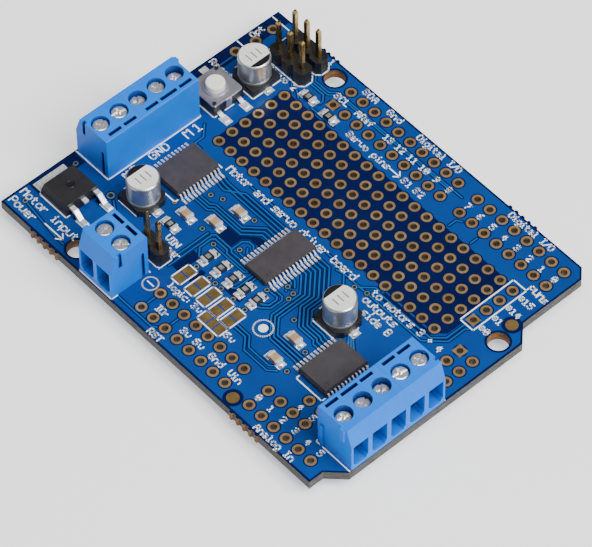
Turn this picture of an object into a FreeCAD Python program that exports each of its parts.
# Motor and servo driver board: a two-layer circuit board in the common
# microcontroller shield outline, with three screw terminal groups, two motor
# driver chips, one PWM controller chip, a reset switch, pin headers, three
# electrolytic capacitors, a power transistor and chip parts.
#
# Board coordinates: x along the long side, y across it, z = 0 on the top face
# of the laminate. save() moves every solid to the row frame, whose origin is
# the centre of the board outline, level with the lowest solder tails.
import FreeCAD, Part
import math
import os

V = FreeCAD.Vector
os.makedirs("parts", exist_ok=True)

# ------------------------------------------------------------ driving sizes
BOARD_X, BOARD_Y, BOARD_T = 68.58, 53.34, 1.6
PITCH = 2.54            # header grid
TAIL = 2.0              # longest lead below the laminate
FOIL = 0.035            # copper and plating standing above the laminate
NUB = 0.28              # breakaway tab remnants proud of both long edges
MOUNT_R = 1.6           # mounting holes
HOLE_R, BARREL_R, RING_R = 0.5, 0.545, 0.86   # plated holes
VIA_R, VIA_RING = 0.2, 0.4

T_PITCH = 3.5           # screw terminal pitch
T_DEPTH, T_H = 6.88, 8.25
T_SLOPE_Z, T_SETBACK = 5.2, 0.98
T_SCREW = 3.54          # screw axis behind the wire-entry face
T_OPEN_W = 2.72         # wire entry width
T_OPEN_Z = (0.75, 5.1)
T_HOLE_R = 1.38         # screwdriver well
T_SEAT_Z = 6.2          # shoulder under the screw head
SCREW_HEAD_R, SCREW_HEAD_H = 1.22, 0.85
SCREW_R, SCREW_L = 0.8, 3.3
THREAD_CLEAR = 0.05     # radial, screw in cage
COLLAR_CLEAR = 0.07     # radial, screw in housing shoulder
CAGE_Z = (0.9, 4.15)    # clamp cage, open
CAGE_FLOOR, CAGE_NUT, CAGE_WALL, CAGE_W, CAGE_D = 0.25, 0.9, 0.3, 2.5, 2.7
CAGE_TRAVEL = 1.4       # 3.5 turns of a 0.4 mm pitch screw
STRIP_Z = (2.6, 2.85)  # fixed contact inside the cage

IC_PITCH = 0.65
CAN_R, CAN_TOP = 2.5, 5.4
PIN_W = 0.64            # square header pins

OX, OY, OZ = -BOARD_X / 2, -BOARD_Y / 2, BOARD_T + TAIL


# ------------------------------------------------------------ helpers
def box(x0, x1, y0, y1, z0, z1):
    return Part.makeBox(x1 - x0, y1 - y0, z1 - z0, V(x0, y0, z0))


def cyl(x, y, r, z0, z1):
    return Part.makeCylinder(r, z1 - z0, V(x, y, z0))


def cone(x, y, r0, r1, z0, z1):
    return Part.makeCone(r0, r1, z1 - z0, V(x, y, z0))


def poly(points):
    pts = [V(*p) for p in points]
    return Part.makePolygon(pts + [pts[0]])


def slab(points, z0, z1):
    """Prism on an outline in the x-y plane."""
    return Part.Face(poly([(x, y, z0) for x, y in points])).extrude(V(0, 0, z1 - z0))


def prism_x(points, x0, x1):
    """Prism on an outline in the y-z plane."""
    return Part.Face(poly([(x0, y, z) for y, z in points])).extrude(V(x1 - x0, 0, 0))


def prism_y(points, y0, y1):
    """Prism on an outline in the x-z plane."""
    return Part.Face(poly([(x, y0, z) for x, z in points])).extrude(V(0, y1 - y0, 0))


def turned(x, y, profile):
    """Solid of revolution about a vertical axis; profile is (r, z)."""
    w = poly([(x + r, y, z) for r, z in profile])
    return Part.Face(w).revolve(V(x, y, 0), V(0, 0, 1), 360)


def hole_wire(x, y, r, z):
    return Part.Wire(Part.makeCircle(r, V(x, y, z), V(0, 0, 1)))


def at(shape, x, y, deg=0.0, z=0.0):
    s = shape.copy()
    if deg:
        s.rotate(V(0, 0, 0), V(0, 0, 1), deg)
    s.translate(V(x, y, z))
    return s


def save(node, shapes):
    if not isinstance(shapes, (list, tuple)):
        shapes = [shapes]
    parts = []
    for s in shapes:
        parts += s.Solids
    out = parts[0].copy() if len(parts) == 1 else Part.makeCompound([p.copy() for p in parts])
    out.translate(V(OX, OY, OZ))
    out.exportStep("parts/%s.step" % node)
    b = out.BoundBox
    print("%-34s %3d solids %9.3f mm3  x %.2f %.2f  y %.2f %.2f  z %.2f %.2f" % (
        node, len(parts), sum(p.Volume for p in parts),
        b.XMin, b.XMax, b.YMin, b.YMax, b.ZMin, b.ZMax))


# ------------------------------------------------------------ hole positions
def row(x0, n, y):
    return [(x0 + PITCH * k, y) for k in range(n)]


header_holes = (
    row(18.796, 10, 50.8) + row(45.72, 8, 50.8)
    + row(18.796, 10, 47.244) + row(45.72, 8, 47.244)
    + row(27.94, 8, 2.54) + row(50.8, 6, 2.54)
    + row(27.94, 8, 6.096) + row(50.8, 4, 6.096))
extra_holes = [(55.88, 9.2), (58.42, 9.2)]
grid_holes = [(12.7 + PITCH * i, 30.48 + PITCH * j) for i in range(19) for j in range(6)]
pwm_holes = [(60.96, 43.18 - PITCH * k) for k in range(4)]
icsp_holes = [(63.627 + PITCH * i, 30.48 - PITCH * j) for i in range(2) for j in range(3)]
opt_holes = [(2.08, 50.42), (2.08, 47.0), (1.6, 43.5)]
open_holes = header_holes + extra_holes + grid_holes + pwm_holes + icsp_holes + opt_holes
square_rings = [(18.796, 47.244), (60.96, 35.56), (63.627, 30.48)]

via_holes = [
    (2.28, 2.63), (1.92, 12.4), (16.87, 18.33), (21.13, 23.8), (19.37, 23.03),
    (23.17, 18.08), (27.08, 24.58), (29.63, 19.5), (26.37, 17.42), (39.13, 20.17),
    (40.55, 19.92), (40.8, 18.83), (37.58, 17.62), (44.08, 16.92), (27.75, 12.98),
    (30.53, 12.98), (31.8, 12.98), (33.05, 12.98), (35.6, 12.98), (38.1, 12.98),
    (49.3, 14.3), (50.05, 10.22), (47.5, 27.67), (45.5, 27.1)]
big_via = [(9.8, 12.33)]

mount_holes = [(13.97, 2.54), (15.24, 50.8), (66.04, 35.56)]

servo_pins = [(6.985 + PITCH * i, y) for y in (50.5, 47.25) for i in range(3)]
logic_pins = [(20.6, 10.1), (23.14, 10.1)]
pin_holes = servo_pins + logic_pins

# Screw terminal blocks: origin corner, turn, ways. In a block's own frame the
# row runs along +x, the wire-entry face is y = 0 and the back is y = T_DEPTH.
blocks = {
    "power_terminal": dict(o=(17.05, 0.42), deg=0, ways=2, ends="LR"),
    "motor_3_4_terminal_3way": dict(o=(68.52, 5.52), deg=90, ways=3, ends="L"),
    "motor_3_4_terminal_2way": dict(o=(68.52, 16.02), deg=90, ways=2, ends="R"),
    "motor_1_2_terminal_2way": dict(o=(0.43, 21.03), deg=-90, ways=2, ends="R"),
    "motor_1_2_terminal_3way": dict(o=(0.43, 31.53), deg=-90, ways=3, ends="L"),
}
# screw head depth below the block's top, way by way, in the block's own order
head_depth = {
    "power_terminal": [0.42, 0.42],
    "motor_3_4_terminal_3way": [0.95, 1.0, 1.1],
    "motor_3_4_terminal_2way": [0.3, 0.4],
    "motor_1_2_terminal_2way": [0.3, 0.34],
    "motor_1_2_terminal_3way": [1.2, 0.5, 0.8],
}


def way_xy(b, k):
    """Board position of way k's screw axis."""
    c, s = math.cos(math.radians(b["deg"])), math.sin(math.radians(b["deg"]))
    u, w = T_PITCH * (k + 0.5), T_SCREW
    return (b["o"][0] + c * u - s * w, b["o"][1] + s * u + c * w)


terminal_pins = [way_xy(b, k) for b in blocks.values() for k in range(b["ways"])]

# ------------------------------------------------------------ circuit board
outline = [(0, 0), (66.04, 0), (66.04, 2.54), (68.58, 5.08), (68.58, 37.846),
           (66.04, 40.386), (66.04, 51.816), (64.516, 53.34), (0, 53.34)]


def with_nubs(points):
    """Adds the small remnants of the breakaway tabs to both long edges."""
    bottom = [(7.0 + 1.35 * k) for k in range(5)] + [(50.0 + 1.3 * k) for k in range(5)]
    top = [(9.1 + 1.0 * k) for k in range(5)] + [(49.8 + 1.28 * k) for k in range(5)]
    out = [points[0]]
    for x in bottom:
        out += [(x - 0.34, 0), (x - 0.2, -NUB), (x + 0.2, -NUB), (x + 0.34, 0)]
    out += points[1:8]
    for x in reversed(top):
        out += [(x + 0.34, BOARD_Y), (x + 0.2, BOARD_Y + NUB),
                (x - 0.2, BOARD_Y + NUB), (x - 0.34, BOARD_Y)]
    out += points[8:]
    return out


wires = [poly([(x, y, -BOARD_T) for x, y in with_nubs(outline)])]
for x, y in mount_holes:
    wires.append(hole_wire(x, y, MOUNT_R, -BOARD_T))
for x, y in open_holes + pin_holes:
    wires.append(hole_wire(x, y, BARREL_R, -BOARD_T))
for x, y in terminal_pins:
    wires.append(hole_wire(x, y, 0.7, -BOARD_T))
for x, y in via_holes:
    wires.append(hole_wire(x, y, VIA_R, -BOARD_T))
for x, y in big_via:
    wires.append(hole_wire(x, y, 0.3, -BOARD_T))
board = Part.Face(wires).extrude(V(0, 0, BOARD_T))
save("circuit_board", board)


# ------------------------------------------------------------ plated holes
def ring(x, y, bore, barrel, r, top=True):
    """Plated barrel with an annular land on both faces."""
    zt, zb = FOIL, -BOARD_T - FOIL
    if not top:
        return turned(x, y, [(bore, zb), (r, zb), (r, -BOARD_T), (barrel, -BOARD_T),
                             (barrel, 0), (bore, 0)])
    return turned(x, y, [(bore, zb), (r, zb), (r, -BOARD_T), (barrel, -BOARD_T),
                         (barrel, 0), (r, 0), (r, zt), (bore, zt)])


def square_ring(x, y):
    h = 0.82
    barrel = cyl(x, y, BARREL_R, -BOARD_T, 0)
    plates = [box(x - h, x + h, y - h, y + h, z0, z1)
              for z0, z1 in ((0, FOIL), (-BOARD_T - FOIL, -BOARD_T))]
    return barrel.fuse(plates).cut(cyl(x, y, HOLE_R, -BOARD_T - 1, 1))


rings = []
for x, y in open_holes + pin_holes:
    if (x, y) in square_rings:
        rings.append(square_ring(x, y))
    elif (x, y) == opt_holes[2]:
        rings.append(ring(x, y, HOLE_R, BARREL_R, 0.9))
    else:
        rings.append(ring(x, y, HOLE_R, BARREL_R, RING_R))
rings += [ring(x, y, 0.65, 0.7, 1.05) for x, y in terminal_pins]
save("plated_holes", rings)
save("via_lands", [turned(x, y, [(VIA_R - 0.04, -BOARD_T - FOIL), (VIA_RING, -BOARD_T - FOIL), (VIA_RING, -BOARD_T),
                                 (VIA_R, -BOARD_T), (VIA_R, 0), (VIA_RING, 0), (VIA_RING, FOIL), (VIA_R - 0.04, FOIL)])
                   for x, y in via_holes]
     + [turned(x, y, [(0.25, -BOARD_T - FOIL), (0.62, -BOARD_T - FOIL), (0.62, -BOARD_T), (0.3, -BOARD_T),
                      (0.3, 0), (0.62, 0), (0.62, FOIL), (0.25, FOIL)]) for x, y in big_via])

# gold lands: solder jumpers and the two alignment marks
lands = []
for x in (27.7, 30.5, 33.05, 35.6, 38.1):
    lands.append(box(x - 0.8, x + 0.8, 9.25, 10.65, 0, FOIL))
    lands.append(box(x - 0.8, x + 0.8, 10.9, 12.28, 0, FOIL))
for x0, x1 in ((34.8, 36.1), (36.32, 37.42), (37.64, 38.92)):
    lands.append(box(x0, x1, 7.28, 8.85, 0, FOIL))
for x, y in ((65.25, 38.95), (48.38, 1.67)):
    lands.append(cyl(x, y, 0.95, 0, FOIL))
save("jumper_lands", lands)


# ------------------------------------------------------------ screw terminals
def block_frame(shape, b):
    return at(shape, b["o"][0], b["o"][1], b["deg"])


def terminal_housing(n, ends):
    L = T_PITCH * n
    D, H = T_DEPTH, T_H
    prof = [(0, 0), (0, T_SLOPE_Z), (T_SETBACK, H), (D - 0.12, H), (D, H - 0.12), (D, 0)]
    body = prism_x(prof, 0, L)
    tools = []
    z0, z1 = T_OPEN_Z
    slots = {2: [(0.68, 2.9), (3.5, 5.75)], 3: [(0.7, 2.93), (3.53, 6.5), (7.05, 9.3)]}[n]
    for k in range(n):
        c = T_PITCH * (k + 0.5)
        w = T_OPEN_W / 2
        # wire entry, with the lower corners cut off
        tools.append(Part.Face(poly([(c - w + 0.5, -0.1, z0), (c + w - 0.5, -0.1, z0), (c + w, -0.1, z0 + 0.6),
                                     (c + w, -0.1, z1), (c - w, -0.1, z1), (c - w, -0.1, z0 + 0.6)]
                                    )).extrude(V(0, 2.1, 0)))
        # clamp chamber behind it
        tools.append(box(c - w, c + w, 1.9, 5.5, z0, 5.7))
        # screwdriver well, with a shoulder that guides the screw's shank
        tools.append(cyl(c, T_SCREW, T_HOLE_R, T_SEAT_Z, H + 0.1))
        tools.append(cyl(c, T_SCREW, SCREW_R + COLLAR_CLEAR, 5.6, T_SEAT_Z + 0.1))
        # slot in the top behind the screw
        tools.append(box(slots[k][0], slots[k][1], 5.75, 6.3, H - 2.0, H + 0.1))
        # open pocket underneath, where the contact's tail leaves
        tools.append(box(c - 0.95, c + 0.95, T_SCREW - 0.95, 5.5, -0.1, z0 + 0.01))
    if "R" in ends:      # joining grooves in the right-hand end face
        tools.append(prism_x([(1.6, 5.6), (2.15, 5.6), (2.15, H + 0.1), (1.6, H + 0.1)], L - 0.42, L + 0.1))
        tools.append(prism_x([(5.62, -0.1), (6.18, -0.1), (6.18, 5.0), (5.9, 5.35), (5.62, 5.0)], L - 0.42, L + 0.1))
    body = body.cut(tools)
    if "L" in ends:      # matching tongues on the left-hand end face
        tongue = slab([(0, 1.15), (-0.4, 1.3), (-0.4, 2.05), (0, 2.2)], 5.7, H - 0.02)
        tail = slab([(0, 5.6), (-0.36, 5.66), (-0.36, 6.1), (0, 6.16)], 0.15, 4.8)
        body = body.fuse([tongue, tail])
    return body


for name, b in blocks.items():
    h = terminal_housing(b["ways"], b["ends"])
    save(name + "_housing", block_frame(h, b))


def screw(depth):
    """Slotted and crossed cylinder-head screw about the z axis; top at T_H - depth."""
    zt = T_H - depth
    r = SCREW_HEAD_R
    prof = [(0, zt - SCREW_HEAD_H - SCREW_L), (SCREW_R - 0.2, zt - SCREW_HEAD_H - SCREW_L),
            (SCREW_R, zt - SCREW_HEAD_H - SCREW_L + 0.25), (SCREW_R, zt - SCREW_HEAD_H),
            (r, zt - SCREW_HEAD_H), (r, zt - 0.22), (r - 0.1, zt - 0.07), (r - 0.28, zt), (0, zt)]
    s = turned(0, 0, prof)
    slot = box(-r - 0.1, r + 0.1, -0.17, 0.17, zt - 0.42, zt + 0.1)
    cross = box(-0.17, 0.17, -0.72, 0.72, zt - 0.42, zt + 0.1)
    return s.cut([slot, cross])


def cage():
    """Lifting clamp cage about the screw axis: a steel sleeve whose thick top
    is threaded on the screw and whose floor lifts the wire. Modelled open."""
    w, d = CAGE_W / 2, CAGE_D / 2
    z0, z1 = CAGE_Z
    outer = box(-w, w, -d, d, z0, z1)
    inner = box(-w + CAGE_WALL, w - CAGE_WALL, -d - 0.1, d + 0.1, z0 + CAGE_FLOOR, z1 - CAGE_NUT)
    bore = cyl(0, 0, SCREW_R + THREAD_CLEAR, z1 - CAGE_NUT - 0.1, z1 + 0.1)
    return outer.cut([inner, bore])


def contact():
    """Tin-plated contact of one way, about the screw axis: a tongue inside the
    cage, a leg behind it, a foot under it and the solder pin."""
    z0, z1 = STRIP_Z
    back = 5.4 - T_SCREW
    side = [(-1.6, z0), (-1.6, z1), (back, z1), (back, 0.3), (-0.4, 0.3), (-0.4, 0.6),
            (back - 0.25, 0.6), (back - 0.25, z0)]
    tongue = prism_x(side, -0.6, 0.6)
    pin = box(-0.4, 0.4, -0.4, 0.4, -BOARD_T - TAIL + 0.25, 0.3)
    tip = Part.makeLoft([poly([(a * 0.4, b * 0.4, -BOARD_T - TAIL + 0.25) for a, b in ((-1, -1), (1, -1), (1, 1), (-1, 1))]),
                         poly([(a * 0.22, b * 0.22, -BOARD_T - TAIL) for a, b in ((-1, -1), (1, -1), (1, 1), (-1, 1))])],
                        True, True)
    return tongue.fuse([pin, tip]).removeSplitter()


def solder_joint(x, y, bore, r, half, drop):
    """Solder filling a plated hole round a square pin, with a concave fillet below."""
    zb = -BOARD_T - FOIL
    prof = [(0, 0), (bore - 0.006, 0), (bore - 0.006, zb), (r, zb), (r * 0.72, zb - drop * 0.3),
            (half * 1.5, zb - drop * 0.75), (half * 1.35, zb - drop), (0, zb - drop)]
    return turned(x, y, prof).cut(box(x - half, x + half, y - half, y + half, zb - drop - 0.1, 0.1))


contacts, joints_below = [], []
for name, b in blocks.items():
    for k in range(b["ways"]):
        x, y = way_xy(b, k)
        i = k + 1
        stem = name.replace("_terminal", "")
        save("%s_screw_%d" % (stem, i), at(screw(head_depth[name][k]), x, y, b["deg"] + 37.0 * (i + len(name))))
        save("%s_clamp_%d" % (stem, i), at(cage(), x, y, b["deg"]))
        contacts.append(at(contact(), x, y, b["deg"]))
        joints_below.append(solder_joint(x, y, 0.65, 0.98, 0.4, 1.1))
save("terminal_contacts", contacts)

# ------------------------------------------------------------ reset switch
SX, SY = 5.98, 35.74
S_BASE, S_TOP = 1.95, 2.2          # moulded base, top of the pressed cover
S_FLOOR = 1.07                     # recess under the dome
S_STAKES = [(2.42, -2.32), (-2.42, 2.32)]
base = box(SX - 2.9, SX + 2.9, SY - 2.85, SY + 2.85, 0.1, S_BASE)
base = base.cut([cyl(SX, SY, 1.95, S_FLOOR, S_BASE + 0.1)])
for ty in (SY - 1.95, SY + 1.95):
    base = base.cut([box(SX - 3.0, SX - 2.45, ty - 0.36, ty + 0.36, 0.0, 0.55 + FOIL),
                     box(SX + 2.45, SX + 3.0, ty - 0.36, ty + 0.36, 0.0, 0.55 + FOIL)])
stakes = [cyl(SX + dx, SY + dy, 0.3, S_BASE, S_TOP + 0.2) for dx, dy in S_STAKES]
save("reset_switch_base", base.fuse(stakes))


def rounded(x, y, hx, hy, r, z0, z1):
    e = []
    pts = [(x + hx, y + hy, 0), (x - hx, y + hy, 90), (x - hx, y - hy, 180), (x + hx, y - hy, 270)]
    arcs = []
    for cx, cy, a in pts:
        sx = 1 if cx > x else -1
        sy = 1 if cy > y else -1
        c = V(cx - sx * r, cy - sy * r, z0)
        arcs.append((c, a))
    edges = []
    prev = None
    for c, a in arcs:
        a0, a1 = math.radians(a), math.radians(a + 90)
        p0 = c + V(r * math.cos(a0), r * math.sin(a0), 0)
        pm = c + V(r * math.cos((a0 + a1) / 2), r * math.sin((a0 + a1) / 2), 0)
        p1 = c + V(r * math.cos(a1), r * math.sin(a1), 0)
        if prev is not None:
            edges.append(Part.LineSegment(prev, p0).toShape())
        else:
            first = p0
        edges.append(Part.Arc(p0, pm, p1).toShape())
        prev = p1
    edges.append(Part.LineSegment(prev, first).toShape())
    return Part.Face(Part.Wire(edges)).extrude(V(0, 0, z1 - z0))


PLUNGER_R, PLUNGER_CLEAR = 1.47, 0.06
cover = rounded(SX, SY, 2.9, 2.85, 0.5, S_BASE, S_TOP)
collar = turned(SX, SY, [(PLUNGER_R + PLUNGER_CLEAR, S_TOP - 0.05), (1.98, S_TOP - 0.05), (1.98, S_TOP + 0.05), (1.9, S_TOP + 0.17),
                         (1.72, S_TOP + 0.17), (PLUNGER_R + PLUNGER_CLEAR, S_TOP + 0.07)])
tabs = [box(SX - 3.0, SX - 2.9, SY - 0.55, SY + 0.55, 0.4, S_TOP - 0.12), box(SX + 2.9, SX + 3.0, SY - 0.55, SY + 0.55, 0.4, S_TOP - 0.12)]
cover = cover.cut([cyl(SX, SY, PLUNGER_R + PLUNGER_CLEAR, S_BASE - 0.1, S_TOP + 0.3)] +
                  [cyl(SX + dx, SY + dy, 0.3, S_BASE - 0.1, S_TOP + 0.3) for dx, dy in S_STAKES]).fuse([collar] + tabs)
save("reset_switch_cover", cover.removeSplitter())
f = S_FLOOR
save("reset_switch_plunger", turned(SX, SY, [(0, f + 0.53), (1.05, f + 0.53), (1.05, f + 0.66), (1.75, f + 0.66), (1.75, f + 0.84), (PLUNGER_R, f + 0.84),
                                             (PLUNGER_R, 3.1), (1.41, 3.22), (1.28, 3.28), (0, 3.28)]))
dome_r = 1.8
save("reset_switch_dome", turned(SX, SY, [(dome_r, f), (dome_r, f + 0.08), (1.3, f + 0.18), (0.75, f + 0.24), (0, f + 0.26),
                                          (0, f + 0.18), (0.75, f + 0.16), (1.25, f + 0.1), (1.68, f + 0.01), (1.7, f)]))


def gull(width, run, rise, foot, t, reach=0.0):
    """Gull-wing lead: leaves the body at the origin along +x at height rise,
    drops to the land and ends in a foot. Height zero is the land."""
    y = width / 2
    knee = reach
    pts = [(0, rise), (0, rise + t), (knee + t * 0.6, rise + t), (run - foot + t * 0.4, t), (run, t), (run, 0),
           (run - foot - t * 0.2, 0), (knee, rise)]
    return prism_y(pts, -y, y)


sw = []
for yy in (SY + 1.95, SY - 1.95):
    for side in (0, 180):
        sgn = 1 if side == 0 else -1
        sw.append(at(gull(0.72, 2.35, 0.35, 0.95, 0.2, 0.6), SX + sgn * 2.45, yy, side, FOIL))
save("reset_switch_terminals", sw)

# ------------------------------------------------------------ pin headers


def shroud(pins, along):
    """Break-apart header strip: one octagonal cell per pin, joined in a row."""
    cells = []
    h, c = PITCH / 2, 0.62
    for x, y in pins:
        pts = [(x - h, y - h + c), (x - h + c, y - h), (x + h - c, y - h), (x + h, y - h + c),
               (x + h, y + h - c), (x + h - c, y + h), (x - h + c, y + h), (x - h, y + h - c)]
        cells.append(slab(pts, 0.25, 2.54))
        foot = slab([(x - 0.9, y - h + 0.1), (x + 0.9, y - h + 0.1), (x + 0.9, y + h - 0.1), (x - 0.9, y + h - 0.1)], 0.05, 0.25)
        cells.append(foot)
    body = cells[0].fuse(cells[1:]).removeSplitter()
    w = PIN_W / 2
    holes = [box(x - w, x + w, y - w, y + w, -0.1, 2.7) for x, y in pins]
    return body.cut(holes)


def header_pin(x, y, top):
    w, e = PIN_W / 2, 0.17
    z0, z1 = -BOARD_T - 1.75, top
    body = box(x - w, x + w, y - w, y + w, z0 + 0.35, z1 - 0.45)
    sq = lambda k, z: poly([(x + a * k, y + b * k, z) for a, b in ((-1, -1), (1, -1), (1, 1), (-1, 1))])
    up = Part.makeLoft([sq(w, z1 - 0.45), sq(e, z1)], True, True)
    dn = Part.makeLoft([sq(w, z0 + 0.35), sq(e, z0)], True, True)
    return body.fuse([up, dn]).removeSplitter()


save("servo_header_shrouds", [shroud(servo_pins[:3], 0), shroud(servo_pins[3:], 0)])
save("servo_header_pins", [header_pin(x, y, 8.5) for x, y in servo_pins])
save("logic_header_shroud", shroud(logic_pins, 0))
save("logic_header_pins", [header_pin(x, y, 8.5) for x, y in logic_pins])
for x, y in pin_holes:
    joints_below.append(solder_joint(x, y, HOLE_R, 0.8, PIN_W / 2, 0.85))
save("solder_joints", joints_below)

# ------------------------------------------------------------ chips
pads = []          # tinned lands under surface-mounted parts


def land(x0, x1, y0, y1):
    pads.append(box(x0, x1, y0, y1, 0, FOIL))


def chip_body(x, y, w, l, z0, z1, dot, dimple_r):
    """Moulded package with drafted flanks and a shallow round mark near one end."""
    zm, d = (z0 + z1) / 2, 0.09
    sq = lambda k, z: poly([(x + a * (w / 2 - k), y + b * (l / 2 - k), z) for a, b in ((-1, -1), (1, -1), (1, 1), (-1, 1))])
    lo = Part.makeLoft([sq(d, z0), sq(0, zm)], True, True)
    hi = Part.makeLoft([sq(0, zm), sq(d, z1)], True, True)
    body = lo.fuse([hi]).removeSplitter()
    return body.cut([cyl(x + dot[0], y + dot[1], dimple_r, z1 - 0.06, z1 + 0.1)])


def chip_leads(x, y, w, span, count, rise, width, foot):
    out = []
    run = (span - w) / 2
    for k in range(count):
        yy = y + (k - (count - 1) / 2) * IC_PITCH
        out.append(at(gull(width, run, rise, foot, 0.15, 0.12), x + w / 2, yy, 0, FOIL))
        out.append(at(gull(width, run, rise, foot, 0.15, 0.12), x - w / 2, yy, 180, FOIL))
        for sgn in (1, -1):
            a = x + sgn * (span / 2 - 0.62)
            c = x + sgn * (span / 2 + 0.52)
            land(min(a, c), max(a, c), yy - 0.18, yy + 0.18)
    return out


U1, U3, U2 = (14.0, 23.0), (54.3, 15.1), (34.83, 22.66)
save("motor_driver_1_body", chip_body(*U1, 5.6, 7.9, 0.1, 1.5, (-1.9, 3.1), 0.36))
save("motor_driver_1_leads", chip_leads(*U1, 5.6, 7.6, 12, 0.62, 0.26, 0.48))
save("motor_driver_2_body", chip_body(*U3, 5.6, 7.9, 0.1, 1.5, (1.9, -3.1), 0.36))
save("motor_driver_2_leads", chip_leads(*U3, 5.6, 7.6, 12, 0.62, 0.26, 0.48))
save("pwm_controller_body", chip_body(*U2, 4.4, 9.7, 0.08, 1.08, (1.35, -4.05), 0.36))
save("pwm_controller_leads", chip_leads(*U2, 4.4, 6.4, 14, 0.42, 0.24, 0.45))

# ------------------------------------------------------------ electrolytic capacitors
caps = [((7.4, 42.1), 1), ((13.7, 15.25), -1), ((48.5, 21.6), -1)]   # centre, side of the stripe
cans, bases, cap_leads = [], [], []
for (x, y), side in caps:
    r = CAN_R
    cans.append(turned(x, y, [(0, 1.1), (r - 0.2, 1.1), (r - 0.05, 1.17), (r, 1.32), (r, 1.62), (r - 0.13, 1.78), (r - 0.13, 1.86), (r, 2.02),
                              (r, CAN_TOP - 0.3), (r - 0.06, CAN_TOP - 0.12), (r - 0.22, CAN_TOP), (0, CAN_TOP)]))
    h, c = 2.65, 0.95
    s = -side      # the two chamfered corners are on the side away from the stripe
    pts = [(x - s * h, y - h), (x + s * (h - c), y - h), (x + s * h, y - h + c), (x + s * h, y + h - c),
           (x + s * (h - c), y + h), (x - s * h, y + h)]
    base = slab(pts, 0.1, 1.32).cut([cyl(x, y, r + 0.04, 1.1, 1.5),
                                     box(x - 3, x - 0.9, y - 0.36, y + 0.36, 0.0, 0.3), box(x + 0.9, x + 3, y - 0.36, y + 0.36, 0.0, 0.3)])
    bases.append(base)
    for sgn in (1, -1):
        a, b2 = x + sgn * 1.0, x + sgn * 3.15
        cap_leads.append(box(min(a, b2), max(a, b2), y - 0.33, y + 0.33, FOIL, 0.26))
        a, b2 = x + sgn * 1.0, x + sgn * 3.65
        land(min(a, b2), max(a, b2), y - 0.75, y + 0.75)
save("capacitor_cans", cans)
save("capacitor_bases", bases)
save("capacitor_leads", cap_leads)

# ------------------------------------------------------------ power transistor
QX0, QX1, QY0, QY1, QH = 2.95, 8.6, 5.05, 11.3, 2.3
rect = lambda a, b, c, d, z: poly([(a, c, z), (b, c, z), (b, d, z), (a, d, z)])
low = box(QX0, QX1, QY0, QY1, 0.12, 0.95)
high = Part.makeLoft([rect(QX0, QX1, QY0, QY1, 0.95), rect(QX0 + 0.28, QX1 - 0.12, QY0 + 0.4, QY1 - 0.4, QH)], True, True)
qbody = low.fuse([high]).removeSplitter().cut([cyl(5.78, 8.3, 0.46, QH - 0.2, QH + 0.1),
                                              box(QX0 - 0.1, QX0 + 1.9, QY0 + 0.45, QY1 - 0.45, 0.0, 0.55)])
Q_LEADS, Q_STUB = (6.15, 10.6), 8.35
qbody = qbody.cut([box(QX1 - 0.5, QX1 + 0.1, yy - 0.4, yy + 0.4, 1.12 + FOIL, 1.54 + FOIL) for yy in Q_LEADS + (Q_STUB,)])
save("transistor_body", qbody)
tab = slab([(1.2, 5.55), (QX0 + 1.85, 5.55), (QX0 + 1.85, 10.8), (1.2, 10.8), (1.2, 8.85), (1.45, 8.6), (1.45, 7.75), (1.2, 7.5)], FOIL, 0.5)
qleads = [tab]
for yy in Q_LEADS:
    qleads.append(at(gull(0.8, 3.65, 1.12, 1.2, 0.42, 1.1), QX1 - 0.5, yy, 0, FOIL))
qleads.append(box(QX1 - 0.5, QX1 + 0.7, Q_STUB - 0.4, Q_STUB + 0.4, 1.12 + FOIL, 1.54 + FOIL))
save("transistor_tab_and_leads", qleads)
land(0.75, QX0 + 1.8, 5.3, 11.0)
land(9.9, 12.2, 5.5, 6.7)
land(9.9, 12.2, 10.0, 11.2)
for yy in (SY + 1.95, SY - 1.95):
    land(SX + 3.5, SX + 5.35, yy - 0.65, yy + 0.65)
    land(SX - 5.35, SX - 3.5, yy - 0.65, yy + 0.65)

# ------------------------------------------------------------ chip parts, 0805 size
resistors = [(15.4, 45.5, 0), (20.1, 45.2, 0), (19.65, 15.1, 0)] + [(x, 15.25, 90) for x in (27.75, 30.5, 33.05, 35.6, 38.1)]
ceramics = [(19.9, 17.9, 0), (24.8, 23.8, 0), (23.8, 20.0, 0), (46.8, 14.6, 0), (47.5, 10.3, 0)]


def chip(length, width, height, cap, x, y, deg):
    core = at(box(-length / 2 + cap, length / 2 - cap, -width / 2, width / 2, 0.0, height), x, y, deg, FOIL)
    e = 0.02
    ends = [at(box(s0, s1, -width / 2 - e, width / 2 + e, 0.0, height + e), x, y, deg, FOIL)
            for s0, s1 in ((-length / 2, -length / 2 + cap), (length / 2 - cap, length / 2))]
    return core, ends


def chip_set(positions, length, width, height, cap):
    cores, ends = [], []
    for x, y, deg in positions:
        a, b = chip(length, width, height, cap, x, y, deg)
        cores.append(a)
        ends += b
        for s in (-1, 1):
            p0, p1 = sorted((s * 0.62, s * 1.68))
            if deg:
                land(x - 0.72, x + 0.72, y + p0, y + p1)
            else:
                land(x + p0, x + p1, y - 0.72, y + 0.72)
    return cores, ends


rc, re = chip_set(resistors, 2.0, 1.25, 0.5, 0.38)
save("chip_resistor_bodies", rc)
save("chip_resistor_ends", re)
cc, ce = chip_set(ceramics, 2.0, 1.25, 0.85, 0.42)
save("ceramic_capacitor_bodies", cc)
save("ceramic_capacitor_ends", ce)
save("soldered_lands", pads)
